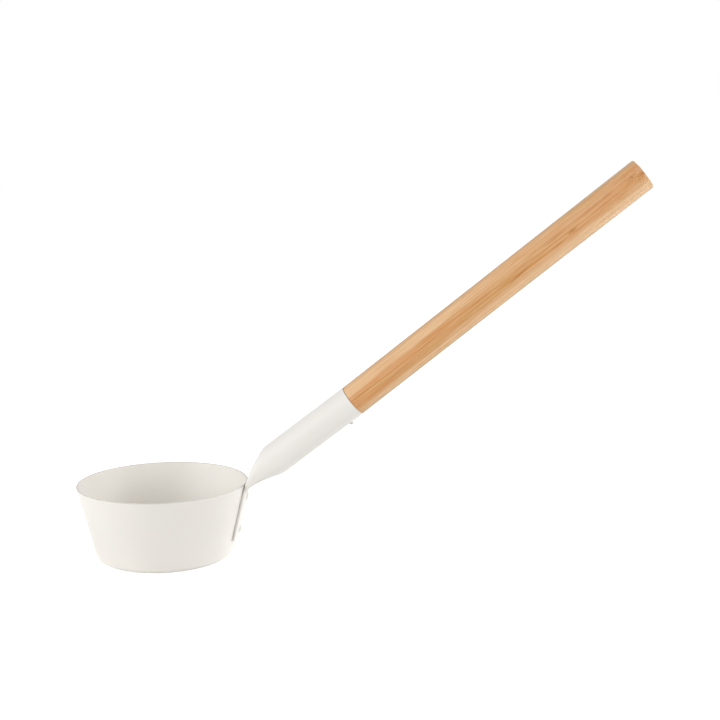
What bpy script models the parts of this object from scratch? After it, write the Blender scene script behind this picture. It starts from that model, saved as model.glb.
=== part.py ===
# Sauna ladle. A drawn sheet-metal cup carries a socket: one tube, pressed flat at its lower
# end, bent over the rim and riveted to the outside of the cup. A bamboo grip stands in the
# tube's mouth on a turned spigot, and a screw from below holds it there.
# Metres, +Z up. The origin is the centre of the cup's base, and the handle rises towards +X.
import math

import bmesh
import bpy
from mathutils import Vector

# Cup
RIM_RADIUS = 0.0551                     # where the wall's outer line meets the rim plane
BASE_RADIUS = 0.0434                    # where the wall's outer line meets the base plane
CUP_HEIGHT = 0.0484
CUP_WALL = 0.001
CUP_CORNER = 0.004                      # outside radius between base and wall

# Handle socket
HANDLE_PITCH = math.radians(37.9)       # of the handle's axis, which aims at the rim's edge
TUBE_DIAMETER = 0.0202
TUBE_WALL = 0.0008
BEND_DOWN = 0.0080                      # reach of the bend below its corner, on the tang
BEND_UP = 0.0169                        # reach of the bend above its corner, on the handle
FLARE_TAIL = 0.0053                     # from the bend's upper end to where the tube is round
FLARE_BLEND = 0.21                      # share of the flare that eases each of its ends
TANG_WIDTH = 0.019
TANG_FOOT = 0.0105                      # height of the tang's end above the base plane
TANG_CROWN = 0.0006                     # of the tang's rounded end past its corners
TANG_HUG = 0.95                         # share of the cup wall's curve that the tang follows

# Rivets
RIVET_SHANK = 0.0032                    # diameter
RIVET_LIP = 0.0012                      # of a head beyond the shank, all round
RIVET_DOME = 0.0010                     # height of the outer head
RIVET_TAIL = 0.0010                     # height of the closed head inside the cup
RIVET_FOOT_MARGIN = 0.0075              # lower rivet's height above the tang's end
RIVET_RIM_MARGIN = 0.0090               # upper rivet's depth below the rim

# Grip
GRIP_LENGTH = 0.2281                    # outside the tube
GRIP_STEP = 0.00015                     # of the grip's side beyond the tube's
GRIP_END_ROUND = 0.0012                 # radius round the far end
GRIP_SHOULDER_ROUND = 0.0004            # radius at the tube's mouth
SPIGOT_LENGTH = 0.035
SPIGOT_CHAMFER = 0.001
SPIGOT_TO_FLARE = 0.0281                # round tube left empty past the spigot

# Screw
SCREW_SHANK = 0.0019                    # diameter
SCREW_LENGTH = 0.0095                   # under the head
SCREW_POINT = 0.0018                    # length of the pointed end
SCREW_LIP = 0.00065                     # of the head beyond the shank, all round
SCREW_HEAD = 0.0012                     # height of the head
SCREW_INSET = 0.009                     # from the tube's mouth to the screw
RECESS_WIDTH = 0.0005                   # of each slot of the cross in the head
RECESS_DEPTH = 0.0007
RECESS_MARGIN = 0.0004                  # of the head left at each end of a slot

FIT_GAP = 0.0003                        # between pieces that touch

# Facets
CUP_STEPS = 80
TUBE_STEPS = 48                         # round the socket, in fours
GRIP_STEPS = 48
FASTENER_STEPS = 20
ARC_STEPS = 5
BEND_STEPS = 14
TANG_STEPS = 6
SHARP_ANGLE = math.radians(35)

# Directions, and what follows from the sizes above
SIDE = Vector((0, 1, 0))
WALL_LEAN = math.atan2(RIM_RADIUS - BASE_RADIUS, CUP_HEIGHT)
WALL_UP = Vector((math.sin(WALL_LEAN), 0, math.cos(WALL_LEAN)))
WALL_OUT = Vector((math.cos(WALL_LEAN), 0, -math.sin(WALL_LEAN)))
HANDLE_AXIS = Vector((math.cos(HANDLE_PITCH), 0, math.sin(HANDLE_PITCH)))
HANDLE_UP = Vector((-math.sin(HANDLE_PITCH), 0, math.cos(HANDLE_PITCH)))
TANG_THICKNESS = 2 * TUBE_WALL
BORE_DIAMETER = TUBE_DIAMETER - 2 * TUBE_WALL


def wall_radius(height):
    return BASE_RADIUS + height * math.tan(WALL_LEAN)


def wall_point(height):
    """Point on the cup's outer wall under the handle."""
    return Vector((wall_radius(height), 0, height))


def bend_corner():
    """Where the tang's middle line would meet the handle's axis."""
    offset = WALL_OUT * (FIT_GAP + TANG_THICKNESS / 2)
    climb = -offset.dot(HANDLE_UP) / WALL_UP.dot(HANDLE_UP)
    return wall_point(CUP_HEIGHT) + offset + WALL_UP * climb


BEND_CORNER = bend_corner()
BEND_LOW = BEND_CORNER - WALL_UP * BEND_DOWN
BEND_HIGH = BEND_CORNER + HANDLE_AXIS * BEND_UP
TANG_END = BEND_CORNER - WALL_UP * ((BEND_CORNER.z - TANG_FOOT) / WALL_UP.z)


def bend_point(share):
    """Middle line of the bend, a parabola from the tang's line to the handle's axis."""
    near = BEND_LOW.lerp(BEND_CORNER, share)
    far = BEND_CORNER.lerp(BEND_HIGH, share)
    return near.lerp(far, share), (far - near).normalized()


def bend_length():
    points = [bend_point(step / BEND_STEPS)[0] for step in range(BEND_STEPS + 1)]
    return sum((after - before).length for before, after in zip(points, points[1:]))


# The tube goes from flat to round over the bend and a tail. Heights along the handle's axis
# are measured from the bend's corner.
FLARE_LENGTH = bend_length() + FLARE_TAIL
FLARE_TOP = BEND_UP + FLARE_TAIL
MOUTH = FLARE_TOP + SPIGOT_TO_FLARE + SPIGOT_LENGTH


def new_collection(name):
    collection = bpy.data.collections.new(name)
    bpy.context.scene.collection.children.link(collection)
    return collection


def new_object(name, mesh, collection):
    obj = bpy.data.objects.new(name, mesh)
    collection.objects.link(obj)
    return obj


def paint(obj, colour, roughness, metallic):
    """Give a piece its own material."""
    material = bpy.data.materials.new(obj.name + "_finish")
    material.use_nodes = True
    shader = material.node_tree.nodes["Principled BSDF"]
    shader.inputs["Base Color"].default_value = (*colour, 1)
    shader.inputs["Roughness"].default_value = roughness
    shader.inputs["Metallic"].default_value = metallic
    obj.data.materials.append(material)


def shade_round(mesh):
    mesh.shade_smooth()
    mesh.set_sharp_from_angle(angle=SHARP_ANGLE)


def arc(centre, radius, start, end):
    """Points of a round stretch of a profile."""
    points = []
    for step in range(ARC_STEPS + 1):
        angle = start + (end - start) * step / ARC_STEPS
        points.append((centre[0] + radius * math.cos(angle), centre[1] + radius * math.sin(angle)))
    return points


def turned(name, profile, steps, collection):
    """A profile of radius and height, down its outer side, turned about Z."""
    mesh = bpy.data.meshes.new(name)
    edges = [(index, index + 1) for index in range(len(profile) - 1)]
    mesh.from_pydata([(radius, 0, height) for radius, height in profile], edges, [])
    obj = new_object(name, mesh, collection)
    screw = obj.modifiers.new("Turn", 'SCREW')
    screw.steps = steps
    screw.render_steps = steps
    screw.use_merge_vertices = True
    screw.merge_threshold = 0.00001
    depsgraph = bpy.context.evaluated_depsgraph_get()
    obj.data = bpy.data.meshes.new_from_object(obj.evaluated_get(depsgraph))
    obj.modifiers.clear()
    bpy.data.meshes.remove(mesh)
    shade_round(obj.data)
    return obj


def as_cutter(obj):
    obj.hide_render = True
    obj.display_type = 'WIRE'
    return obj


def cut(obj, cutter):
    boolean = obj.modifiers.new(cutter.name, 'BOOLEAN')
    boolean.operation = 'DIFFERENCE'
    boolean.object = cutter


def hole_cutter(name, radius, bottom, top):
    """A round cutter along its own Z."""
    mesh = bpy.data.meshes.new(name)
    bm = bmesh.new()
    bmesh.ops.create_cone(
        bm, cap_ends=True, segments=FASTENER_STEPS, radius1=radius, radius2=radius, depth=top - bottom)
    bmesh.ops.translate(bm, verts=bm.verts, vec=(0, 0, (top + bottom) / 2))
    bm.to_mesh(mesh)
    bm.free()
    return as_cutter(new_object(name, mesh, cutters))


def box_cutter(name, size, centre):
    mesh = bpy.data.meshes.new(name)
    bm = bmesh.new()
    bmesh.ops.create_cube(bm, size=1)
    bmesh.ops.scale(bm, verts=bm.verts, vec=size)
    bmesh.ops.translate(bm, verts=bm.verts, vec=centre)
    bm.to_mesh(mesh)
    bm.free()
    return as_cutter(new_object(name, mesh, cutters))


def place(obj, location, turn, parent=None):
    """Set a piece down with its Z turned about Y from straight up."""
    obj.parent = parent
    obj.location = location
    obj.rotation_euler = (0, turn, 0)


def cup_corner(inset, radius):
    """Round between the base and the wall, each moved in by the inset."""
    height = inset + radius
    centre = (wall_radius(height) - height / math.cos(WALL_LEAN), height)
    return arc(centre, radius, -math.pi / 2, -WALL_LEAN)


def make_cup():
    edge = CUP_WALL / 2
    edge_height = CUP_HEIGHT - edge
    edge_centre = (wall_radius(edge_height) - edge / math.cos(WALL_LEAN), edge_height)
    inner_corner = max(CUP_CORNER - CUP_WALL, edge)
    profile = [(0, CUP_WALL)]
    profile += cup_corner(CUP_WALL, inner_corner)
    profile += arc(edge_centre, edge, math.pi - WALL_LEAN, -WALL_LEAN)
    profile += reversed(cup_corner(0, CUP_CORNER))
    profile += [(0, 0)]
    cup = turned("cup", profile, CUP_STEPS, ladle)
    paint(cup, (0.80, 0.76, 0.71), 0.5, 0.0)
    return cup


def flattened_section(width, height):
    """A tube's section pressed to a width and height, as points at equal steps of its girth.

    They start at the fold on the far side and pass over the top. A point's partner under it
    has the same place counted backwards.
    """
    radius = height / 2
    half_flat = width / 2 - radius
    fold = math.pi * radius / 2
    girth = 4 * (half_flat + fold)
    quarter = []
    for step in range(TUBE_STEPS // 4 + 1):
        run = girth * step / TUBE_STEPS
        turn = min(run, fold) / radius
        across = half_flat + radius * math.cos(turn) - max(run - fold, 0)
        quarter.append((across, radius * math.sin(turn)))
    top = quarter + [(-across, up) for across, up in reversed(quarter[:-1])]
    return top + [(across, -up) for across, up in reversed(top[1:-1])]


def rounded_ramp(share):
    """From 0 to 1 in a straight line that eases in and out."""
    slope = 1 / (1 - FLARE_BLEND)
    if share < FLARE_BLEND:
        return slope * max(share, 0) ** 2 / (2 * FLARE_BLEND)
    if share > 1 - FLARE_BLEND:
        return 1 - slope * max(1 - share, 0) ** 2 / (2 * FLARE_BLEND)
    return slope * (share - FLARE_BLEND / 2)


def socket_stations():
    """Points and directions of the socket's middle line, from the tang's end to the mouth."""
    second = TANG_END + WALL_UP * 2 * TANG_CROWN
    tang = [second.lerp(BEND_LOW, step / TANG_STEPS) for step in range(TANG_STEPS)]
    stations = [(point, WALL_UP) for point in [TANG_END, *tang]]
    stations += [bend_point(step / BEND_STEPS) for step in range(BEND_STEPS + 1)]
    stations += [(BEND_CORNER + HANDLE_AXIS * reach, HANDLE_AXIS) for reach in (FLARE_TOP, MOUTH)]
    return stations


def roundness(stations):
    """How round the tube is at each station, from 0 on the flat tang to 1 at the mouth."""
    shares = []
    travel = -(BEND_LOW - TANG_END).length
    before = TANG_END
    for point, _ in stations:
        travel += (point - before).length
        before = point
        shares.append(rounded_ramp(travel / FLARE_LENGTH))
    return shares


def add_ring(bm, station, section, hug, crown):
    """Vertices of a section. Hug bends its sides in to the cup, crown moves them up the tang."""
    point, along = station
    up = along.cross(SIDE).normalized()
    half_width = section[0][0]
    ring = []
    for across, rise in section:
        bow = hug * across ** 2 / 2
        lag = crown * (across / half_width) ** 2
        ring.append(bm.verts.new(point + SIDE * across + up * (rise + bow) + along * lag))
    return ring


def close_ring(bm, ring):
    """A strip of faces across a flattened ring, from each point to its partner."""
    half = len(ring) // 2
    for index in range(half):
        corners = [ring[index], ring[index + 1], ring[-index - 1], ring[-index]]
        bm.faces.new(dict.fromkeys(corners))


def make_socket():
    stations = socket_stations()
    shares = roundness(stations)
    outside = []
    inside = []
    bm = bmesh.new()
    for station, share in zip(stations, shares):
        width = TANG_WIDTH + (TUBE_DIAMETER - TANG_WIDTH) * share
        height = TANG_THICKNESS + (TUBE_DIAMETER - TANG_THICKNESS) * share
        hug = TANG_HUG * (1 - share) * math.cos(WALL_LEAN) / wall_radius(station[0].z)
        crown = 0 if outside else TANG_CROWN
        outside.append(add_ring(bm, station, flattened_section(width, height), hug, crown))
        bore_width = width - 2 * TUBE_WALL
        bore_height = height - 2 * TUBE_WALL
        if bore_height > TUBE_WALL:
            inside.append(add_ring(bm, station, flattened_section(bore_width, bore_height), hug, 0))
    rings = outside + inside[::-1]
    for lower, upper in zip(rings, rings[1:]):
        for index in range(TUBE_STEPS):
            bm.faces.new((lower[index - 1], lower[index], upper[index], upper[index - 1]))
    close_ring(bm, rings[0])
    close_ring(bm, rings[-1])
    bmesh.ops.recalc_face_normals(bm, faces=bm.faces)
    mesh = bpy.data.meshes.new("handle_socket")
    bm.to_mesh(mesh)
    bm.free()
    shade_round(mesh)
    socket = new_object("handle_socket", mesh, ladle)
    paint(socket, (0.80, 0.77, 0.73), 0.5, 0.0)
    return socket


def dome(radius, base, height):
    """Profile of a round head, from its crown down to its rim."""
    ball = (radius ** 2 + height ** 2) / (2 * height)
    return arc((0, base + height - ball), ball, math.pi / 2, math.pi / 2 - math.asin(radius / ball))


def make_rivet(name, height):
    """A rivet through tang and cup wall, whose Z points out of the wall from its outer face."""
    shank = RIVET_SHANK / 2
    head = shank + RIVET_LIP
    seat = TANG_THICKNESS + 2 * FIT_GAP
    tail = CUP_WALL + FIT_GAP
    profile = dome(head, seat, RIVET_DOME)
    profile += [(shank, seat), (shank, -tail)]
    profile += [(radius, -level) for radius, level in reversed(dome(head, tail, RIVET_TAIL))]
    rivet = turned(name, profile, FASTENER_STEPS, ladle)
    place(rivet, wall_point(height), math.pi / 2 + WALL_LEAN)
    paint(rivet, (0.80, 0.76, 0.71), 0.5, 0.0)
    hole = hole_cutter(name + "_hole", shank + FIT_GAP, -2 * tail, 2 * seat)
    place(hole, wall_point(height), math.pi / 2 + WALL_LEAN)
    return hole


def make_grip():
    """Grip and spigot in one turned piece, whose Z runs from the tube's mouth to the far end."""
    radius = TUBE_DIAMETER / 2 + GRIP_STEP
    spigot = BORE_DIAMETER / 2 - FIT_GAP
    end_centre = (radius - GRIP_END_ROUND, GRIP_LENGTH - GRIP_END_ROUND)
    shoulder_centre = (radius - GRIP_SHOULDER_ROUND, FIT_GAP + GRIP_SHOULDER_ROUND)
    profile = [(0, GRIP_LENGTH)]
    profile += arc(end_centre, GRIP_END_ROUND, math.pi / 2, 0)
    profile += arc(shoulder_centre, GRIP_SHOULDER_ROUND, 0, -math.pi / 2)
    profile += [(spigot, FIT_GAP), (spigot, SPIGOT_CHAMFER - SPIGOT_LENGTH)]
    profile += [(spigot - SPIGOT_CHAMFER, -SPIGOT_LENGTH), (0, -SPIGOT_LENGTH)]
    grip = turned("bamboo_grip", profile, GRIP_STEPS, ladle)
    place(grip, (0, 0, MOUTH), 0, handle)
    paint(grip, (0.68, 0.39, 0.17), 0.5, 0.0)
    return grip


def make_screw():
    """A screw with a crossed head, whose Z points out of the tube's underside."""
    shank = SCREW_SHANK / 2
    head = shank + SCREW_LIP
    tip = FIT_GAP - SCREW_LENGTH
    profile = dome(head, FIT_GAP, SCREW_HEAD)
    profile += [(shank, FIT_GAP), (shank, tip + SCREW_POINT), (0, tip)]
    screw = turned("grip_screw", profile, FASTENER_STEPS, ladle)
    paint(screw, (0.62, 0.62, 0.63), 0.35, 1.0)
    seat = (TUBE_DIAMETER / 2, 0, MOUTH - SCREW_INSET)
    place(screw, seat, math.pi / 2, handle)
    crown = FIT_GAP + SCREW_HEAD
    length = 2 * (head - RECESS_MARGIN)
    for name, along, across in (
            ("recess_along", length, RECESS_WIDTH),
            ("recess_across", RECESS_WIDTH, length)):
        recess = box_cutter(name, (along, across, 2 * RECESS_DEPTH), (0, 0, crown))
        place(recess, seat, math.pi / 2, handle)
        cut(screw, recess)
    hole = hole_cutter("screw_hole", shank + FIT_GAP, -SCREW_LENGTH, crown)
    place(hole, seat, math.pi / 2, handle)
    return hole


for leftover in list(bpy.data.objects):
    bpy.data.objects.remove(leftover)
ladle = new_collection("sauna_ladle")
cutters = new_collection("cutters")

# The handle's own frame: Z along its axis, X out of its underside
handle = new_object("handle_axis", None, ladle)
place(handle, BEND_CORNER, math.pi / 2 - HANDLE_PITCH)

cup_body = make_cup()
socket_body = make_socket()
grip_body = make_grip()
for rivet_name, rivet_height in (
        ("rivet_upper", CUP_HEIGHT - RIVET_RIM_MARGIN),
        ("rivet_lower", TANG_FOOT + RIVET_FOOT_MARGIN)):
    rivet_hole = make_rivet(rivet_name, rivet_height)
    cut(cup_body, rivet_hole)
    cut(socket_body, rivet_hole)
screw_hole = make_screw()
cut(socket_body, screw_hole)
cut(grip_body, screw_hole)
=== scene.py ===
# Sauna ladle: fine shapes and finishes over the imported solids, in metres, with +Z up.
# The cup's axis is Z and the handle rises towards +X, as in the frame.
import math

import bmesh
import bpy
from mathutils import Matrix, Vector


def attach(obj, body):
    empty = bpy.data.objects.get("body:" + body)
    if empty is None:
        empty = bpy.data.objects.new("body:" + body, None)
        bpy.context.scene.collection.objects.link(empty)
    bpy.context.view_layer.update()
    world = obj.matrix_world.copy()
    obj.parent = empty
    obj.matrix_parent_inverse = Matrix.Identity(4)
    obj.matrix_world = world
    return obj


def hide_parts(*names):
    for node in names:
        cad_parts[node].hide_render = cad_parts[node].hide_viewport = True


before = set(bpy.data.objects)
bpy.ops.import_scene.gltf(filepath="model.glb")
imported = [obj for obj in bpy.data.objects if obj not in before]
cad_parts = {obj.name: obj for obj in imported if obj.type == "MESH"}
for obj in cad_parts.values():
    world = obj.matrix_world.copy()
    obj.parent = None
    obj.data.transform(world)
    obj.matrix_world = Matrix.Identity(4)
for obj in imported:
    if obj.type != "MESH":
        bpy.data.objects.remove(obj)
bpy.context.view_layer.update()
print("frame:", ", ".join(sorted(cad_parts)))

mm = 0.001
sideways = Vector((0, 1, 0))
fitGap = 0.3 * mm                        # between solids that touch
mergeWithin = 0.001 * mm                 # points this close become one
findWithin = 0.02 * mm                   # points this close lie on the loop looked for


# Small tools for meshes

def turn(profile, around):               # radius and height pairs, spun about Z
    bm = bmesh.new()
    line = [bm.verts.new((radius, 0, height)) for radius, height in profile]
    for before, after in zip(line, line[1:]):
        bm.edges.new((before, after))
    bmesh.ops.spin(
        bm, geom=bm.verts[:] + bm.edges[:], cent=(0, 0, 0), axis=(0, 0, 1), dvec=(0, 0, 0),
        angle=math.tau, steps=around, use_merge=True, use_duplicate=False)
    bmesh.ops.remove_doubles(bm, verts=bm.verts, dist=mergeWithin)
    bmesh.ops.recalc_face_normals(bm, faces=bm.faces)
    return bm


def roundEdges(bm, edges, width, segments):
    bmesh.ops.bevel(
        bm, geom=edges, offset=width, offset_type='OFFSET', segments=segments, profile=0.5,
        affect='EDGES', material=-1, clamp_overlap=True)


def roundLoop(bm, radius, height, width, segments):   # rounds one loop of a turned shape
    def near(vert):
        return (abs(math.hypot(vert.co.x, vert.co.y) - radius) < findWithin
                and abs(vert.co.z - height) < findWithin)
    loop = [edge for edge in bm.edges if all(near(vert) for vert in edge.verts)]
    roundEdges(bm, loop, width, segments)


def pull(bm, edges):                     # extrudes a loop, and gives its new vertices and edges
    made = bmesh.ops.extrude_edge_only(bm, edges=edges)["geom"]
    verts = [item for item in made if isinstance(item, bmesh.types.BMVert)]
    fresh = set(verts)
    loop = [edge for edge in bm.edges if edge.is_boundary and fresh.issuperset(edge.verts)]
    return verts, loop


def steps(start, end, count):            # count even steps, without the end
    return [start + (end - start) * step / count for step in range(count)]


def addPiece(name, bm, material, node, sharp=40):
    mesh = bpy.data.meshes.new(name)
    bm.to_mesh(mesh)
    bm.free()
    mesh.shade_smooth()
    mesh.set_sharp_from_angle(angle=math.radians(sharp))
    mesh.materials.append(material)
    piece = bpy.data.objects.new(name, mesh)
    bpy.context.scene.collection.objects.link(piece)
    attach(piece, "root")
    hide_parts(node)
    print("piece:", name, len(mesh.polygons), "faces")
    return piece


# Small tools for materials

def feed(tree, socket, value):           # a link, or the socket's own value
    if isinstance(value, bpy.types.NodeSocket):
        tree.links.new(value, socket)
    else:
        socket.default_value = value


def addNode(tree, kind, settings=None, **inputs):
    node = tree.nodes.new("ShaderNode" + kind)
    for key, value in (settings or {}).items():
        setattr(node, key, value)
    for key, value in inputs.items():
        feed(tree, node.inputs[key], value)
    return node


def calc(tree, operation, *values):
    node = addNode(tree, "Math", {"operation": operation})
    for socket, value in zip(node.inputs, values):
        feed(tree, socket, value)
    return node.outputs[0]


def calcVector(tree, operation, *values):
    node = addNode(tree, "VectorMath", {"operation": operation})
    for socket, value in zip(node.inputs, values):
        feed(tree, socket, value)
    return node.outputs["Vector"]


def ease(tree, value, low, high):        # 0 below low, 1 above high, smooth between
    node = addNode(tree, "MapRange", {"interpolation_type": 'SMOOTHSTEP'}, Value=value)
    feed(tree, node.inputs["From Min"], low)
    feed(tree, node.inputs["From Max"], high)
    return node.outputs["Result"]


def blend(tree, share, *colours):        # two colours or sockets, mixed by share
    node = addNode(tree, "Mix", {"data_type": 'RGBA'}, Factor=share)
    for socket, colour in zip(node.inputs[6:8], colours):             # A and B of the colour kind
        feed(tree, socket, (*colour, 1) if isinstance(colour, tuple) else colour)
    return node.outputs[2]


def newMaterial(name):
    material = bpy.data.materials.new(name)
    material.use_nodes = True
    tree = material.node_tree
    return material, tree, tree.nodes["Principled BSDF"]


def newGroup(name, inputs, outputs):
    group = bpy.data.node_groups.new(name, 'ShaderNodeTree')
    for label, kind, start in inputs:
        socket = group.interface.new_socket(label, in_out='INPUT', socket_type=kind)
        if start is not None:
            socket.default_value = start
    for label, kind in outputs:
        group.interface.new_socket(label, in_out='OUTPUT', socket_type=kind)
    return group, group.nodes.new("NodeGroupInput"), group.nodes.new("NodeGroupOutput")


def useGroup(tree, group, **inputs):
    node = tree.nodes.new("ShaderNodeGroup")
    node.node_tree = group
    for key, value in inputs.items():
        feed(tree, node.inputs[key], value)
    return node.outputs


# Mottle: soft uneven patches, as in any sprayed, oiled or handled surface
mottling = {
    "detail": 3.0,
    "roughness": 0.55,
    "range": (0.3, 0.7),                 # of the noise, drawn out from low to high
}


def makeMottle():
    group, given, result = newGroup(
        "mottle",
        [("where", 'NodeSocketVector', None), ("perMetre", 'NodeSocketFloat', 40.0),
         ("low", 'NodeSocketFloat', 0.0), ("high", 'NodeSocketFloat', 1.0)],
        [("value", 'NodeSocketFloat')])
    noise = addNode(
        group, "TexNoise", Vector=given.outputs["where"], Scale=given.outputs["perMetre"],
        Detail=mottling["detail"], Roughness=mottling["roughness"])
    spread = addNode(group, "MapRange", Value=noise.outputs["Fac"])
    for label, level in zip(("From Min", "From Max"), mottling["range"]):
        spread.inputs[label].default_value = level
    feed(group, spread.inputs["To Min"], given.outputs["low"])
    feed(group, spread.inputs["To Max"], given.outputs["high"])
    feed(group, result.inputs["value"], spread.outputs["Result"])
    return group


mottle = makeMottle()


# Coat skin: the fine orange peel of a baked powder coat
peeling = {
    "detail": 2.0,
    "roughness": 0.5,
    "swellPerMetre": 260.0,              # slower waves under the peel
    "swellDetail": 1.0,
    "swellShare": 1.6,
    "grainPerMetre": 620.0,              # grains that did not melt in
    "grainEdge": (0.16, 0.04),
}


def makeCoatSkin():
    group, given, result = newGroup(
        "coatSkin", [("perMetre", 'NodeSocketFloat', 1400.0)],
        [("height", 'NodeSocketFloat'), ("speck", 'NodeSocketFloat')])
    where = addNode(group, "TexCoord").outputs["Object"]
    peel = addNode(
        group, "TexNoise", Vector=where, Scale=given.outputs["perMetre"],
        Detail=peeling["detail"], Roughness=peeling["roughness"])
    swell = addNode(
        group, "TexNoise", Vector=where, Scale=peeling["swellPerMetre"],
        Detail=peeling["swellDetail"], Roughness=peeling["roughness"])
    mixed = calc(
        group, 'MULTIPLY_ADD', swell.outputs["Fac"], peeling["swellShare"], peel.outputs["Fac"])
    grains = addNode(group, "TexVoronoi", Vector=where, Scale=peeling["grainPerMetre"])
    specks = ease(group, grains.outputs["Distance"], *peeling["grainEdge"])
    feed(group, result.inputs["height"], mixed)
    feed(group, result.inputs["speck"], specks)
    return group


coatSkin = makeCoatSkin()


def makeCoat(name, finish, paintedRimShadeFrom=None):            # painted shade above a height, a darker line along the rim's edge
    material, tree, shader = newMaterial(name)
    where = addNode(tree, "TexCoord").outputs["Object"]
    surfaceLayer = useGroup(tree, coatSkin, perMetre=finish["peelPerMetre"])
    patches = useGroup(tree, mottle, where=where, perMetre=finish["patchPerMetre"])["value"]
    plain = blend(tree, patches, finish["warm"], finish["cool"])
    if paintedRimShadeFrom is not None:
        across, _, height = addNode(tree, "SeparateXYZ", Vector=where).outputs
        # painted shade: a darker line along the rim's rounded edge
        rimShadeShare = ease(tree, height, paintedRimShadeFrom, paintedRimShadeFrom + finish["paintedRimShadeFade"])
        # painted shadow: the rim's edge darker still in the crevice beside the tang
        near = ease(tree, across, *finish["paintedCreviceReach"])
        plain = blend(tree, rimShadeShare, plain, blend(tree, near, finish["paintedRimShade"], finish["paintedCreviceShadow"]))
    flecks = calc(tree, 'MULTIPLY', surfaceLayer["speck"], finish["fleckShare"])
    feed(tree, shader.inputs["Base Color"], blend(tree, flecks, plain, finish["fleck"]))
    gloss = useGroup(
        tree, mottle, where=where, perMetre=finish["glossPerMetre"],
        low=finish["roughness"] - finish["glossSpread"],
        high=finish["roughness"] + finish["glossSpread"])["value"]
    feed(tree, shader.inputs["Roughness"], gloss)
    shader.inputs["Specular IOR Level"].default_value = finish["shine"]
    bump = addNode(
        tree, "Bump", Height=surfaceLayer["height"], Strength=finish["peelStrength"],
        Distance=finish["peelHeight"])
    feed(tree, shader.inputs["Normal"], bump.outputs["Normal"])
    return material


# Cup: drawn in one piece from sheet, coated inside and out
cup = {
    "rimRadius": 55.1 * mm,              # where the wall's outer line meets the rim plane
    "baseRadius": 43.4 * mm,             # where the wall's outer line meets the base plane
    "height": 48.4 * mm,
    "wall": 1.0 * mm,
    "corner": 4.0 * mm,                  # outside radius between base and wall
    "cornerSteps": 7,
    "rimRound": 0.46,                    # rounding of each rim edge, in walls
    "rimSteps": 5,
    "rimLoop": 1.6,                      # walls below the rim, a loop that keeps the shading flat
    "wallRows": 9,
    "floorRings": 5,
    "around": 240,
}
cupFinish = {
    "warm": (0.797, 0.765, 0.712),
    "cool": (0.791, 0.765, 0.718),
    "fleck": (0.72, 0.68, 0.63),
    "paintedRimShade": (0.64, 0.612, 0.578),        # painted shade along the rim's edge
    "paintedRimShadeDepth": 0.5 * mm,               # below the rim
    "paintedRimShadeFade": 0.25 * mm,
    "paintedCreviceShadow": (0.51, 0.487, 0.461),       # painted shadow on the rim's edge, in the crevice where the tang meets it
    "paintedCreviceReach": (52.0 * mm, 54.5 * mm),             # where it begins and is full, along X
    "fleckShare": 0.10,
    "roughness": 0.48,
    "glossSpread": 0.05,
    "shine": 0.35,
    "patchPerMetre": 35.0,
    "glossPerMetre": 60.0,
    "peelPerMetre": 1500.0,
    "peelStrength": 0.35,
    "peelHeight": 0.02 * mm,
}
wallLean = math.atan2(cup["rimRadius"] - cup["baseRadius"], cup["height"])
wallUp = Vector((math.sin(wallLean), 0, math.cos(wallLean)))
wallOut = Vector((math.cos(wallLean), 0, -math.sin(wallLean)))


def wallRadius(height):
    return cup["baseRadius"] + height * math.tan(wallLean)


def wallPoint(height):                   # on the cup's outer wall, under the handle
    return Vector((wallRadius(height), 0, height))


def makeCup():
    wall = cup["wall"]
    height = cup["height"]
    base = cup["baseRadius"]
    inset = wall / math.cos(wallLean)    # the wall's thickness, measured level
    innerBase = wallRadius(wall) - inset
    loop = height - cup["rimLoop"] * wall
    heights = [*steps(wall, loop, cup["wallRows"]), loop, height]
    profile = [(radius, wall) for radius in steps(0, innerBase, cup["floorRings"])]
    profile += [(wallRadius(level) - inset, level) for level in heights]
    profile += [(wallRadius(level), level) for level in reversed(heights[1:])]
    profile += [(base, 0)]
    profile += [(radius, 0) for radius in reversed(steps(0, base, cup["floorRings"]))]
    bm = turn(profile, cup["around"])
    reach = math.tan(math.pi / 4 - wallLean / 2)      # tangent length of a corner of radius 1
    roundLoop(bm, base, 0, cup["corner"] * reach, cup["cornerSteps"])
    roundLoop(bm, innerBase, wall, (cup["corner"] - wall) * reach, cup["cornerSteps"])
    for radius in (wallRadius(height), wallRadius(height) - inset):
        roundLoop(bm, radius, height, cup["rimRound"] * wall, cup["rimSteps"])
    # the cup's coat carries a painted shade line along the rim's edge
    coat = makeCoat("cupCoat", cupFinish, paintedRimShadeFrom=height - cupFinish["paintedRimShadeDepth"])
    return addPiece("cup_shell", bm, coat, "cup")


makeCup()


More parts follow.
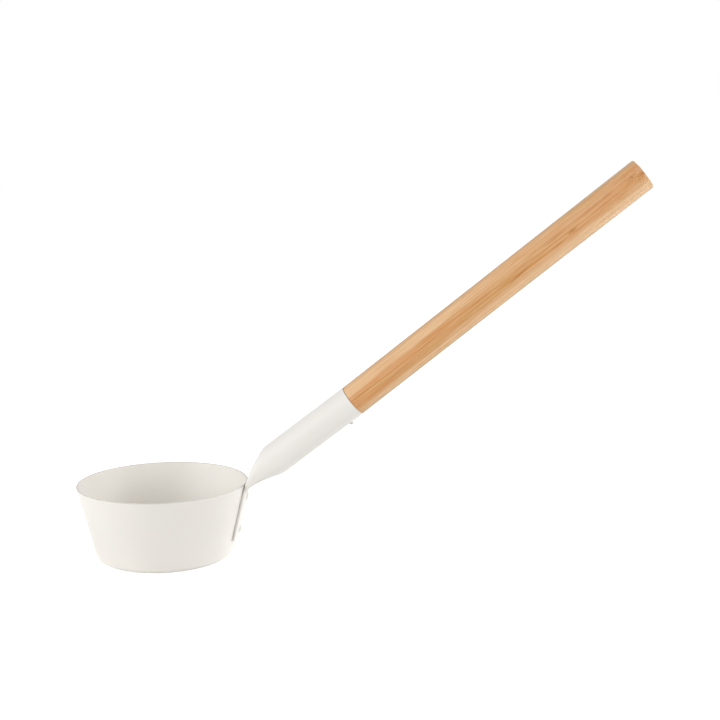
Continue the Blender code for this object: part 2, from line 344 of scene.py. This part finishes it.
# Socket: one tube, pressed flat below, bent over the rim and riveted to the cup
socket = {
    "pitch": math.radians(37.9),         # of the handle's axis, which aims at the rim's edge
    "tube": 21.2 * mm,                   # diameter, with the coat
    "wall": 0.8 * mm,
    "bendDown": 8.0 * mm,                # reach of the bend below its corner, on the tang
    "bendUp": 16.9 * mm,                 # reach of the bend above its corner, on the handle
    "flareTail": 6.6 * mm,               # from the bend's upper end to where the tube is round
    "flareBlend": 0.21,                  # share of the flare that eases each of its ends
    "tangWidth": 19.0 * mm,
    "tangFoot": 10.5 * mm,               # height of the tang's end above the base plane
    "tangCrown": 0.6 * mm,               # of the tang's rounded end past its corners
    "tangHug": 0.95,                     # share of the cup wall's curve that the tang follows
    "toSpigot": 26.8 * mm,               # round tube left empty past the spigot
    "edge": 0.18 * mm,                   # rounding of the tube's cut ends
    "edgeSteps": 3,
    "seat": 0.24 * mm,                   # of the tang's inner face towards the cup, under the coat
    "seatReach": (3.0 * mm, 11.0 * mm),  # below the rim, where that begins and is full
    "fill": 0.4,                         # how far the coat squares the folds beside the cup
    "seam": 0.12 * mm,                   # hairline between the two walls at the tang's end
    "seamDepth": 1.5 * mm,
    "around": 96,
    "rows": (18, 40, 6, 16),             # along tang, bend, flare and tube
    "mouthRow": 1.5 * mm,                # the last row, at the mouth
}
socketFinish = dict(
    cupFinish, warm=(0.820, 0.792, 0.751), cool=(0.814, 0.790, 0.753), patchPerMetre=45.0)
grip = {
    "length": 228.1 * mm,                # outside the tube
    "radius": 10.4 * mm,
    "endRound": 1.2 * mm,
    "endSteps": 8,
    "endRings": 5,
    "plainEnd": 3.0 * mm,                # without rows, at each end
    "rows": 40,
    "shoulderRound": 0.3 * mm,
    "shoulderSteps": 4,
    "shoulderGap": 0.19 * mm,            # from the tube's mouth
    "tilt": 0.016,                       # of the shoulder, which leaves a wider gap on top
    "tiltReach": 2.0 * mm,
    "spigot": 35.0 * mm,
    "spigotChamfer": 1.0 * mm,
    "around": 144,
}
handleAxis = Vector((math.cos(socket["pitch"]), 0, math.sin(socket["pitch"])))
handleUp = Vector((-math.sin(socket["pitch"]), 0, math.cos(socket["pitch"])))
handleLean = math.pi / 2 - socket["pitch"]            # of the axis from upright
tangThickness = 2 * socket["wall"]


def bendCorner():                        # where the tang's middle line meets the handle's axis
    offset = wallOut * (fitGap + tangThickness / 2)
    climb = -offset.dot(handleUp) / wallUp.dot(handleUp)
    return wallPoint(cup["height"]) + offset + wallUp * climb


corner = bendCorner()
bendLow = corner - wallUp * socket["bendDown"]
bendHigh = corner + handleAxis * socket["bendUp"]
tangEnd = corner - wallUp * ((corner.z - socket["tangFoot"]) / wallUp.z)
flareTop = socket["bendUp"] + socket["flareTail"]
mouthReach = flareTop + socket["toSpigot"] + grip["spigot"]
mouth = corner + handleAxis * mouthReach


# Tube and wood were not driven together quite in line
seating = {
    "mouthDrop": 0.57 * mm,              # of the mouth below the axis; the grip's far end is on it
    "pivot": 33.0 * mm,                  # below the mouth, where the tube crosses the axis
    "neck": (86.0 * mm, 66.0 * mm),      # below the mouth, where the neck leaves the tang's place
}


def settled(point):
    reach = (point - mouth).dot(handleAxis)
    if reach > 0:
        drop = 1 - reach / grip["length"]
    else:
        low, high = seating["neck"]
        share = min(1, max(0, (low + reach) / (low - high)))
        drop = (1 + reach / seating["pivot"]) * share * share * (3 - 2 * share)
    return point - handleUp * (seating["mouthDrop"] * drop)


def settle(bm):
    for vert in bm.verts:
        vert.co = settled(vert.co)


def bendPoint(share):                    # middle line of the bend
    near = bendLow.lerp(corner, share)
    far = corner.lerp(bendHigh, share)
    return near.lerp(far, share), (far - near).normalized()


def middleLine():                        # points and directions from the tang's end to the mouth
    tangRows, bendRows, flareRows, tubeRows = socket["rows"]
    line = [(tangEnd.lerp(bendLow, share), wallUp) for share in steps(0, 1, tangRows)]
    line += [bendPoint(share) for share in steps(0, 1, bendRows)]
    reaches = steps(socket["bendUp"], flareTop, flareRows)
    reaches += steps(flareTop, mouthReach, tubeRows)
    reaches += [mouthReach - socket["mouthRow"], mouthReach]
    return line + [(corner + handleAxis * reach, handleAxis) for reach in reaches]


def roundedRamp(share):                  # 0 to 1 in a straight line that eases in and out
    soft = socket["flareBlend"]
    slope = 1 / (1 - soft)
    if share < soft:
        return slope * max(share, 0) ** 2 / (2 * soft)
    if share > 1 - soft:
        return 1 - slope * max(1 - share, 0) ** 2 / (2 * soft)
    return slope * (share - soft / 2)


def travelled(line):                     # distance of each point from the bend's lower end
    travel = -(bendLow - tangEnd).length
    found = [travel]
    for before, after in zip(line, line[1:]):
        travel += (after[0] - before[0]).length
        found.append(travel)
    return found


def pressed(width, height, share, square):            # a place on the girth of a tube pressed flat
    radius = height / 2
    halfFlat = (width - height) / 2
    fold = math.pi * radius / 2
    girth = 4 * (halfFlat + fold)
    run = (share % 0.25) * girth
    quarter = int(share * 4) % 4
    if quarter % 2:
        run = girth / 4 - run
    angle = min(run, fold) / radius
    power = 1 if quarter > 1 else 1 - square
    across = halfFlat + radius * max(math.cos(angle), 0) ** power - max(run - fold, 0)
    rise = radius * math.sin(angle) ** power
    return (-across if quarter in (1, 2) else across), (-rise if quarter > 1 else rise)


def wallCurve(height):                   # of the tang across, where it lies on the cup
    return socket["tangHug"] * math.cos(wallLean) / wallRadius(height)


def rollTube():                          # a sheet rolled into a tube, pressed flat below and bent
    line = middleLine()
    travels = travelled(line)
    flare = next(travel for travel, (point, _) in zip(travels, line)
                 if (point - corner).dot(handleAxis) >= flareTop - mergeWithin)
    seatStart, seatFull = socket["seatReach"]
    bm = bmesh.new()
    bmesh.ops.create_grid(
        bm, x_segments=socket["around"], y_segments=len(line) - 1, size=0.5)
    for vert in bm.verts:
        row = round((vert.co.y + 0.5) * (len(line) - 1))
        point, along = line[row]
        share = roundedRamp(travels[row] / flare)
        height = tangThickness + (socket["tube"] - tangThickness) * share
        width = socket["tangWidth"] + (socket["tube"] - socket["tangWidth"]) * share
        across, rise = pressed(
            width, height, (vert.co.x + 0.5) % 1, socket["fill"] * (1 - share))
        under = cup["height"] - seatStart - point.z
        seated = min(1, max(0, under / (seatFull - seatStart)))
        rise += socket["seat"] * seated * max(0, 2 * rise / height)
        rise += wallCurve(point.z) * (1 - share) * across ** 2 / 2
        fade = max(0, 1 - (travels[row] - travels[0]) / (2 * socket["tangCrown"]))
        lag = socket["tangCrown"] * fade * (2 * across / width) ** 2
        up = along.cross(sideways).normalized()
        vert.co = point + sideways * across + up * rise + along * lag
    bmesh.ops.remove_doubles(bm, verts=bm.verts, dist=mergeWithin)
    return bm


def openBore(bm, top):                   # gives the bore's edge at the mouth
    bore = 1 - 2 * socket["wall"] / socket["tube"]
    inner, innerEdges = pull(bm, top)
    bmesh.ops.scale(bm, vec=(bore, bore, bore), space=Matrix.Translation(-mouth), verts=inner)
    deep, deepEdges = pull(bm, innerEdges)
    depth = grip["spigot"] + socket["toSpigot"]
    bmesh.ops.translate(bm, verts=deep, vec=-handleAxis * depth)
    bmesh.ops.edgeloop_fill(bm, edges=deepEdges)
    return innerEdges


def closeFoot(bm, foot):                 # at the tang's end the two walls meet in a hairline seam
    inward = -wallOut
    curve = wallCurve(tangEnd.z)
    narrow = socket["seam"] / tangThickness
    halfFlat = (socket["tangWidth"] - tangThickness) / 2
    lips, lipEdges = pull(bm, foot)
    for vert in lips:
        aside = vert.co.y
        fold = math.copysign(max(abs(aside) - halfFlat, 0), aside)
        moved = sideways * fold * (narrow - 1)
        rise = (vert.co - tangEnd).dot(inward) - curve * aside ** 2 / 2
        sag = curve * ((aside + moved.y) ** 2 - aside ** 2) / 2
        vert.co += moved + inward * (rise * (narrow - 1) + sag)
    seam, seamEdges = pull(bm, lipEdges)
    bmesh.ops.translate(bm, verts=seam, vec=wallUp * socket["seamDepth"])
    bottom = bmesh.ops.edgeloop_fill(bm, edges=seamEdges)["faces"]
    bmesh.ops.triangulate(bm, faces=bottom)


def makeSocket():
    bm = rollTube()
    loose = [edge for edge in bm.edges if edge.is_boundary]
    top = [edge for edge in loose if (edge.verts[0].co - mouth).length < socket["tube"]]
    foot = [edge for edge in loose if edge not in top]
    cut = {*top, *foot, *openBore(bm, top)}
    closeFoot(bm, foot)
    ends = [edge for edge in bm.edges if edge in cut]
    roundEdges(bm, ends, socket["edge"], socket["edgeSteps"])
    settle(bm)
    bmesh.ops.recalc_face_normals(bm, faces=bm.faces)
    coat = makeCoat("socketCoat", socketFinish)
    return addPiece("socket_tube", bm, coat, "handle_socket")


makeSocket()


# Rivets: domed heads outside, closed heads inside, under the same coat
rivets = {
    "shank": 3.2 * mm,                   # diameter
    "lip": 1.2 * mm,                     # of a head beyond the shank, all round
    "dome": 1.0 * mm,                    # height of the outer head
    "tail": 1.0 * mm,                    # height of the closed head inside the cup
    "skirt": 0.10 * mm,                  # edge of a head
    "foot": 0.35 * mm,                   # of the coat gathered round it
    "places": {"rivet_upper": 39.4 * mm, "rivet_lower": 18.0 * mm},   # heights on the wall
    "around": 48,
}
rivetFinish = dict(cupFinish, peelStrength=0.25)


def headProfile(radius, seat, crown, skirt, foot=0, rows=9):          # from the crown to the seat
    drop = crown - skirt
    ball = (radius ** 2 + drop ** 2) / (2 * drop)
    spread = math.asin(radius / ball)
    middle = seat + crown - ball
    angles = [*steps(0, spread, rows), spread]
    arc = [(ball * math.sin(angle), middle + ball * math.cos(angle)) for angle in angles]
    return [*arc, (radius + foot, seat)]


def makeRivets():
    coat = makeCoat("rivetCoat", rivetFinish)
    shank = rivets["shank"] / 2
    head = shank + rivets["lip"]
    skirt = rivets["skirt"] + fitGap
    seat = tangThickness + fitGap        # the tang's outer face, from the cup's wall
    hollow = head ** 2 / (2 * cup["rimRadius"])       # the wall curves away under a head
    outer = headProfile(head, seat, rivets["dome"] + fitGap, skirt, rivets["foot"])
    tail = headProfile(head, cup["wall"], rivets["tail"] + fitGap, skirt, rivets["foot"])
    profile = outer + [(shank, seat), (shank, -cup["wall"] - hollow)]
    profile += [(radius, -level) for radius, level in reversed(tail)]
    facing = Matrix.Rotation(math.pi / 2 + wallLean, 4, 'Y')
    for node, height in rivets["places"].items():
        bm = turn(profile, rivets["around"])
        place = Matrix.Translation(wallPoint(height)) @ facing
        bmesh.ops.transform(bm, verts=bm.verts, matrix=place)
        addPiece(node + "_head", bm, coat, node)


makeRivets()


# Fibre lines: streaks drawn out along the grain
fibre = {"detail": 3.0, "roughness": 0.6, "edge": (0.32, 0.68)}


def makeFibreLines():
    group, given, result = newGroup(
        "fibreLines",
        [("where", 'NodeSocketVector', None), ("across", 'NodeSocketFloat', 1.0),
         ("along", 'NodeSocketFloat', 0.02)],
        [("line", 'NodeSocketFloat')])
    across = given.outputs["across"]
    stretch = addNode(group, "CombineXYZ", X=across, Y=across, Z=given.outputs["along"])
    scaled = calcVector(group, 'MULTIPLY', given.outputs["where"], stretch.outputs["Vector"])
    noise = addNode(
        group, "TexNoise", Vector=scaled, Scale=1.0, Detail=fibre["detail"],
        Roughness=fibre["roughness"])
    feed(group, result.inputs["line"], ease(group, noise.outputs["Fac"], *fibre["edge"]))
    return group


fibreLines = makeFibreLines()


# Grip: a bar glued up from bamboo strips, turned round, with a spigot inside the tube
bamboo = {
    "pale": (0.808, 0.552, 0.325),       # soft inner side of a strip
    "dense": (0.630, 0.263, 0.084),      # dense outer side of a strip
    "olive": (0.586, 0.291, 0.088),      # the same where the culm was greener
    "line": (0.450, 0.170, 0.040),       # fibre bundles
    "edgeSheenLight": (0.588, 0.402, 0.252),  # painted grazing reflection and edge shade, greyer, on top and below
    "edgeSheenDark": (0.488, 0.332, 0.206),
    "endTint": (0.400, 0.185, 0.062),    # the far end soaks up more oil
    "roughness": 0.52,
    "roughSpread": 0.12,
    "shine": 0.25,                       # of the oil
    # strips from the top down: tone at the mouth, 0 pale to 1 dense, and its change per mm along
    "strips": [(0.19, 0.0016), (0.84, -0.0009), (0.40, -0.0011)],
    # joints between them: place across and drift along, softness and its growth along, all in mm
    "joints": [(-3.0, -0.012, 0.25, 0.010), (6.2, -0.016, 1.2, 0.006)],
    "glueDepth": 0.10,
    # fibre lines: waves to the mm across and along, and how far they change the tone
    "broad": (0.45, 0.007, 0.22),
    "fine": (1.9, 0.018, 0.46),
    "hair": (5.0, 0.085, 0.40),
    "greener": (0.15, 0.014),            # waves of the turn to olive
    # how the fibres wander, everywhere and at the node: waves as above, and reach in mm
    "waver": (0.03, 0.006, 0.5),
    "ripple": (0.22, 0.14, 1.4),
    "edgeSheenEdges": [(-9.1, -9.8), (8.5, 9.3)],          # where that painted greyer band begins and is full, across
    "edgeSheenShare": 0.8,
    "edgeSheenRagged": 1.2,                   # mm by which its edges run along the fibres
    "bundleSize": 0.85,                  # mm between fibre bundles
    "bundleStretch": (1, 1, 0.008),      # long along the grain
    "bundleEdge": (0.34, 0.12),
    "bundleDepth": 0.36,
    # darker streaks on the side: across, along, half width, half length, all in mm, then rise
    # per mm and depth
    "streaks": [
        (-0.4, 9.0, 0.6, 14.0, 0.00, 0.60), (-3.2, 31.0, 0.4, 9.0, 0.01, 0.50),
        (3.0, 35.0, 0.8, 16.0, 0.02, 0.50), (-0.2, 64.0, 0.5, 18.0, 0.02, 0.65),
        (-3.3, 66.0, 0.4, 14.0, 0.01, 0.50), (-1.8, 104.0, 0.5, 14.0, 0.02, 0.60),
        (1.1, 132.0, 1.2, 12.0, 0.10, 0.75), (-2.2, 135.0, 0.5, 12.0, 0.03, 0.50),
        (-3.6, 162.0, 1.4, 14.0, 0.02, 0.48), (1.2, 162.0, 0.9, 7.0, 0.04, 0.45),
        (-0.3, 173.0, 0.7, 4.5, 0.00, 1.40), (-4.0, 189.0, 0.8, 17.0, 0.01, 0.55),
        (-0.9, 195.0, 0.35, 22.0, 0.01, 0.45), (-4.2, 202.0, 0.8, 7.0, 0.02, 0.50),
        (-3.6, 219.5, 1.0, 3.5, 0.05, 0.55), (0.3, 223.5, 0.5, 4.0, 0.10, 0.50),
        (-2.2, 227.5, 2.2, 5.5, 0.00, 0.75),
    ],
    "underStreak": 0.6,                  # of the lines that shows through a streak
    "node": (-3.0, 224.0, 5.5, 15.0),    # dotted patch near the far end, given as a streak is
    "nodeDepth": 0.9,
    "nodeShade": 0.05,                   # between its dots
    "porePerMm": 0.8,
    "poreEdge": (0.5, 0.15),
    "poreDepth": 0.8,
    "endFade": (1.3, 0.3),               # mm before the far end, where its tint begins and is full
    "endShade": 0.35,
    "endDots": 0.45,                     # darker where a fibre bundle ends
    "bundlePit": -0.6,
    "linePit": -0.5,
    "pitStrength": 0.3,
    "pitDepth": 0.03 * mm,
}


def gripSpace(tree):                     # in mm: x out of the underside, z along from the mouth
    where = addNode(tree, "TexCoord").outputs["Object"]
    turned = addNode(tree, "Mapping", {"vector_type": 'TEXTURE'}, Vector=where)
    turned.inputs["Location"].default_value = mouth
    turned.inputs["Rotation"].default_value = (0, handleLean, 0)
    turned.inputs["Scale"].default_value = (mm, mm, mm)
    return turned.outputs["Vector"]


def longSpot(tree, where, across, along, width, length, rise=0):      # 1 in its middle, 0 round it
    radius = grip["radius"] / mm
    spot = addNode(tree, "Mapping", {"vector_type": 'TEXTURE'}, Vector=where)
    spot.inputs["Location"].default_value = (across, -radius, along)
    spot.inputs["Rotation"].default_value = (0, -math.atan(rise), 0)
    spot.inputs["Scale"].default_value = (width, radius, length)
    ball = addNode(
        tree, "TexGradient", {"gradient_type": 'SPHERICAL'}, Vector=spot.outputs["Vector"])
    return ball.outputs["Fac"]


def fibres(tree, where, across, along):
    return useGroup(tree, fibreLines, where=where, across=across, along=along)["line"]


def centred(tree, value):
    return calc(tree, 'SUBTRACT', value, 0.5)


def stripTone(tree, across, along):      # how dense the bamboo is, and the dark glue in its joints
    def drawn(start, change):
        return calc(tree, 'MULTIPLY_ADD', along, change, start)
    tone = drawn(*bamboo["strips"][0])
    glue = 0.0
    for (place, drift, soft, growth), strip in zip(bamboo["joints"], bamboo["strips"][1:]):
        offset = calc(tree, 'SUBTRACT', across, drawn(place, drift))
        offset = calc(tree, 'DIVIDE', offset, drawn(soft, growth))
        over = ease(tree, offset, -1.0, 1.0)
        tone = calc(tree, 'MULTIPLY_ADD', calc(tree, 'SUBTRACT', drawn(*strip), tone), over, tone)
        glue = calc(tree, 'MAXIMUM', glue, ease(tree, calc(tree, 'ABSOLUTE', offset), 1.0, 0.0))
    return tone, glue


def wander(tree, where, knot):           # the same place, shifted as the fibres wander
    def swing(across, along, reach):
        return calc(tree, 'MULTIPLY', centred(tree, fibres(tree, where, across, along)), reach)
    throw = calc(tree, 'MULTIPLY', swing(*bamboo["ripple"]), knot)
    aside = addNode(tree, "CombineXYZ", X=calc(tree, 'ADD', swing(*bamboo["waver"]), throw))
    return calcVector(tree, 'ADD', where, aside.outputs["Vector"])


def makeBamboo():
    material, tree, shader = newMaterial("bambooOiled")
    straight = gripSpace(tree)
    knot = longSpot(tree, straight, *bamboo["node"])
    where = wander(tree, straight, knot)
    across, _, reach = addNode(tree, "SeparateXYZ", Vector=where).outputs
    tone, glue = stripTone(tree, across, reach)
    layers = {}
    for name in ("broad", "fine", "hair"):
        *waves, depth = bamboo[name]
        layers[name] = fibres(tree, where, *waves)
        tone = calc(tree, 'MULTIPLY_ADD', centred(tree, layers[name]), depth, tone)
    cells = calcVector(tree, 'MULTIPLY', where, bamboo["bundleStretch"])
    bundles = addNode(tree, "TexVoronoi", Vector=cells, Scale=1 / bamboo["bundleSize"])
    dots = ease(tree, bundles.outputs["Distance"], *bamboo["bundleEdge"])
    # lines: bundles, glue, streaks and the node
    dark = calc(tree, 'MULTIPLY', calc(tree, 'MULTIPLY', dots, tone), bamboo["bundleDepth"])
    dark = calc(tree, 'MULTIPLY_ADD', glue, bamboo["glueDepth"], dark)
    for *place, depth in bamboo["streaks"]:
        under = calc(tree, 'MULTIPLY', dark, bamboo["underStreak"])
        marked = calc(tree, 'MULTIPLY_ADD', longSpot(tree, where, *place), depth, under)
        dark = calc(tree, 'MAXIMUM', dark, marked)
    pores = addNode(tree, "TexVoronoi", Vector=straight, Scale=bamboo["porePerMm"])
    dotted = ease(tree, pores.outputs["Distance"], *bamboo["poreEdge"])
    dotted = calc(tree, 'MULTIPLY_ADD', dotted, bamboo["poreDepth"], bamboo["nodeShade"])
    dark = calc(
        tree, 'MULTIPLY_ADD', calc(tree, 'MULTIPLY', knot, dotted), bamboo["nodeDepth"], dark)
    # colours: strips, painted grazing reflection on top and below, lines and the far end
    greener = fibres(tree, where, *bamboo["greener"])
    dense = blend(tree, greener, bamboo["dense"], bamboo["olive"])
    colour = blend(tree, tone, bamboo["pale"], dense)
    ragged = calc(
        tree, 'MULTIPLY_ADD', centred(tree, layers["fine"]), bamboo["edgeSheenRagged"], across)
    # painted grazing reflection and edge shade: a greyer tone along the bar's top and bottom
    edgeSheen = blend(tree, layers["hair"], bamboo["edgeSheenLight"], bamboo["edgeSheenDark"])
    for edge in bamboo["edgeSheenEdges"]:
        surfaceLayer = calc(tree, 'MULTIPLY', ease(tree, ragged, *edge), bamboo["edgeSheenShare"])
        colour = blend(tree, surfaceLayer, colour, edgeSheen)
    colour = blend(tree, dark, colour, bamboo["line"])
    end = ease(tree, reach, *(grip["length"] / mm - fade for fade in bamboo["endFade"]))
    soaked = calc(tree, 'MULTIPLY_ADD', dots, bamboo["endDots"], bamboo["endShade"])
    colour = blend(tree, calc(tree, 'MULTIPLY', end, soaked), colour, bamboo["endTint"])
    feed(tree, shader.inputs["Base Color"], colour)
    spread = bamboo["roughSpread"]
    rough = calc(
        tree, 'MULTIPLY_ADD', layers["fine"], spread, bamboo["roughness"] - spread / 2)
    feed(tree, shader.inputs["Roughness"], rough)
    shader.inputs["Specular IOR Level"].default_value = bamboo["shine"]
    relief = calc(tree, 'MULTIPLY', layers["fine"], bamboo["linePit"])
    relief = calc(tree, 'MULTIPLY_ADD', dots, bamboo["bundlePit"], relief)
    bump = addNode(
        tree, "Bump", Height=relief, Strength=bamboo["pitStrength"], Distance=bamboo["pitDepth"])
    feed(tree, shader.inputs["Normal"], bump.outputs["Normal"])
    return material


def makeGrip():
    radius = grip["radius"]
    length = grip["length"]
    plain = grip["plainEnd"]
    shoulder = grip["shoulderGap"]
    chamfer = grip["spigotChamfer"]
    spigot = socket["tube"] / 2 - socket["wall"] - fitGap
    levels = [shoulder, *steps(plain, length - plain, grip["rows"]), length]
    profile = [(ring, length) for ring in steps(0, radius, grip["endRings"])]
    profile += [(radius, level) for level in reversed(levels)]
    profile += [(spigot, shoulder), (spigot, chamfer - grip["spigot"])]
    profile += [(spigot - chamfer, -grip["spigot"]), (0, -grip["spigot"])]
    bm = turn(profile, grip["around"])
    roundLoop(bm, radius, length, grip["endRound"], grip["endSteps"])
    roundLoop(bm, radius, shoulder, grip["shoulderRound"], grip["shoulderSteps"])
    for vert in bm.verts:                # the shoulder was not cut quite square
        if 0 < vert.co.z < grip["tiltReach"]:
            vert.co.z -= grip["tilt"] * vert.co.x
    place = Matrix.Translation(mouth) @ Matrix.Rotation(handleLean, 4, 'Y')
    bmesh.ops.transform(bm, verts=bm.verts, matrix=place)
    settle(bm)
    return addPiece("grip_bar", bm, makeBamboo(), "bamboo_grip")


makeGrip()


# Screw: small round head with a cross recess, under the tube near its mouth
screw = {
    "shank": 1.9 * mm,                   # diameter
    "length": 9.5 * mm,                  # under the head
    "point": 1.8 * mm,
    "lip": 0.65 * mm,                    # of the head beyond the shank, all round
    "head": 1.2 * mm,                    # height
    "skirt": 0.2 * mm,
    "inset": 9.6 * mm,                   # from the tube's mouth
    "slotWidth": 0.5 * mm,
    "slotDepth": 0.7 * mm,
    "slotMargin": 0.4 * mm,
    "around": 48,
    "sharp": 30,                         # degrees between faces that meet in a crease
}
steel = {
    "colour": (0.47, 0.47, 0.48),
    "tarnish": (0.28, 0.27, 0.26),
    "tarnishPerMetre": 900.0,
    "roughness": 0.34,
    "roughSpread": 0.08,
    "roughPerMetre": 2500.0,
}


def makeSteel():
    material, tree, shader = newMaterial("screwSteel")
    where = addNode(tree, "TexCoord").outputs["Object"]
    stain = useGroup(tree, mottle, where=where, perMetre=steel["tarnishPerMetre"])["value"]
    shader.inputs["Metallic"].default_value = 1.0
    colour = blend(tree, stain, steel["colour"], steel["tarnish"])
    feed(tree, shader.inputs["Base Color"], colour)
    rough = useGroup(
        tree, mottle, where=where, perMetre=steel["roughPerMetre"],
        low=steel["roughness"] - steel["roughSpread"],
        high=steel["roughness"] + steel["roughSpread"])["value"]
    feed(tree, shader.inputs["Roughness"], rough)
    return material


def makeRecess(reach, crown):            # two crossed bars, to be cut from the head
    slots = bmesh.new()
    for size in ((reach, screw["slotWidth"]), (screw["slotWidth"], reach)):
        made = bmesh.ops.create_cube(slots, size=1)["verts"]
        bmesh.ops.scale(slots, verts=made, vec=(*size, 2 * screw["slotDepth"]))
        bmesh.ops.translate(slots, verts=made, vec=(0, 0, crown))
    mesh = bpy.data.meshes.new("crossRecess")
    slots.to_mesh(mesh)
    slots.free()
    cutter = bpy.data.objects.new("crossRecess", mesh)
    bpy.context.scene.collection.objects.link(cutter)
    return cutter


def makeScrew():
    shank = screw["shank"] / 2
    head = shank + screw["lip"]
    tip = fitGap - screw["length"]
    crown = fitGap + screw["head"]
    profile = headProfile(head, 0, crown, screw["skirt"] + fitGap)
    profile += [(shank, 0), (shank, tip + screw["point"]), (0, tip)]
    bm = turn(profile, screw["around"])
    piece = addPiece(
        "screw_body", bm, makeSteel(), "grip_screw", sharp=screw["sharp"])
    cutter = makeRecess(2 * (head - screw["slotMargin"]), crown)
    cut = piece.modifiers.new("recess", 'BOOLEAN')
    cut.object = cutter
    cut.use_self = True                  # the two bars cross
    depsgraph = bpy.context.evaluated_depsgraph_get()
    piece.data = bpy.data.meshes.new_from_object(piece.evaluated_get(depsgraph))
    piece.modifiers.clear()
    bpy.data.objects.remove(cutter)
    seat = settled(mouth - handleAxis * screw["inset"] - handleUp * (socket["tube"] / 2))
    facing = Matrix.Rotation(math.pi - socket["pitch"], 4, 'Y')
    piece.data.transform(Matrix.Translation(seat) @ facing)
    return piece


makeScrew()


# Studio: pale floor, soft lamps and the photograph's camera
studio = {
    "floorSize": 12.0,
    "floorDrop": 0.2 * mm,               # below the base
    "floorColour": (0.90, 0.90, 0.90),
    "floorGlow": 0.75,                   # what the camera sees of the floor besides its shading
    "farGlow": 1.0,                      # the same where the lamps no longer reach
    "glowReach": (0.7, 1.6),             # where the one turns into the other, from the object
    "ambient": 0.04,                     # of the world, for all but camera and mirror rays
    "aim": (0.10, 0.0, 0.08),
    "lampReach": 1.6,                    # from the aim to each lamp
    "lampSize": 1.0,
    # bearing from the camera's side, turning to the right, height in degrees, and watts
    "lamps": {
        "rightSoftbox": (90, 18, 17.2),
        "leftSoftbox": (270, 18, 6.0),
        "frontLeftSoftbox": (315, 18, 12.6),
        "frontHighSoftbox": (0, 48, 7.5),
        "backHighSoftbox": (135, 48, 11.1),
    },
}
camera = {
    "place": (0.187723, -0.864724, 0.270026),
    "yaw": math.radians(-3.8841),        # to the right of +Y
    "pitch": math.radians(9.3408),       # downwards
    "roll": math.radians(-0.8486),
    "focal": 1392.1 / 720,               # of the frame's width
    "sensor": 36.0,
    "clipStart": 0.01,
}


def whiteForCamera(tree):                # 1 for rays that see the background, also in a mirror
    rays = addNode(tree, "LightPath").outputs
    seen = calc(tree, 'MAXIMUM', rays["Is Camera Ray"], rays["Is Glossy Ray"])
    return calc(tree, 'MAXIMUM', seen, rays["Is Transmission Ray"])


def makeFloor():
    bm = bmesh.new()
    bmesh.ops.create_grid(bm, x_segments=1, y_segments=1, size=studio["floorSize"] / 2)
    bmesh.ops.translate(bm, verts=bm.verts, vec=(0, 0, -studio["floorDrop"]))
    mesh = bpy.data.meshes.new("floor")
    bm.to_mesh(mesh)
    bm.free()
    material, tree, shader = newMaterial("floorPaper")
    tree.nodes.remove(shader)
    matt = addNode(tree, "BsdfDiffuse", Color=(*studio["floorColour"], 1))
    away = addNode(tree, "VectorMath", {"operation": 'LENGTH'})
    feed(tree, away.inputs[0], addNode(tree, "TexCoord").outputs["Object"])
    far = ease(tree, away.outputs["Value"], *studio["glowReach"])
    near = studio["floorGlow"]
    level = calc(tree, 'MULTIPLY_ADD', far, studio["farGlow"] - near, near)
    glow = addNode(tree, "Emission", Strength=level)
    lit = addNode(tree, "AddShader")
    tree.links.new(matt.outputs[0], lit.inputs[0])
    tree.links.new(glow.outputs[0], lit.inputs[1])
    choice = addNode(tree, "MixShader", Fac=whiteForCamera(tree))
    tree.links.new(matt.outputs[0], choice.inputs[1])
    tree.links.new(lit.outputs[0], choice.inputs[2])
    tree.links.new(choice.outputs[0], tree.nodes["Material Output"].inputs["Surface"])
    mesh.materials.append(material)
    floor = bpy.data.objects.new("floor", mesh)
    bpy.context.scene.collection.objects.link(floor)


def makeWorld():
    world = bpy.data.worlds.new("studio")
    world.use_nodes = True
    tree = world.node_tree
    sky = tree.nodes["Background"]
    sky.inputs["Color"].default_value = (1, 1, 1, 1)
    dim = studio["ambient"]
    level = calc(tree, 'MULTIPLY_ADD', whiteForCamera(tree), 1 - dim, dim)
    feed(tree, sky.inputs["Strength"], level)
    bpy.context.scene.world = world


def makeLamps():
    aim = Vector(studio["aim"])
    for name, (bearing, height, watts) in studio["lamps"].items():
        data = bpy.data.lights.new(name, 'AREA')
        data.shape = 'DISK'
        data.size = studio["lampSize"]
        data.energy = watts
        lamp = bpy.data.objects.new(name, data)
        away = Vector((0, -1, 0))
        away.rotate(Matrix.Rotation(math.radians(-height), 3, 'X'))
        away.rotate(Matrix.Rotation(math.radians(bearing), 3, 'Z'))
        lamp.location = aim + away * studio["lampReach"]
        lamp.rotation_euler = (-away).to_track_quat('-Z', 'Y').to_euler()
        lamp.visible_camera = False
        bpy.context.scene.collection.objects.link(lamp)


def makeCamera():
    data = bpy.data.cameras.new("photoCamera")
    data.sensor_width = camera["sensor"]
    data.lens = camera["focal"] * camera["sensor"]
    data.clip_start = camera["clipStart"]
    eye = bpy.data.objects.new("photoCamera", data)
    eye.matrix_world = (
        Matrix.Translation(camera["place"])
        @ Matrix.Rotation(-camera["yaw"], 4, 'Z')
        @ Matrix.Rotation(math.pi / 2 - camera["pitch"], 4, 'X')
        @ Matrix.Rotation(camera["roll"], 4, 'Z'))
    bpy.context.scene.collection.objects.link(eye)
    bpy.context.scene.camera = eye


makeFloor()
makeWorld()
makeLamps()
makeCamera()
bpy.context.scene.view_settings.view_transform = 'Standard'
print("studio ready")
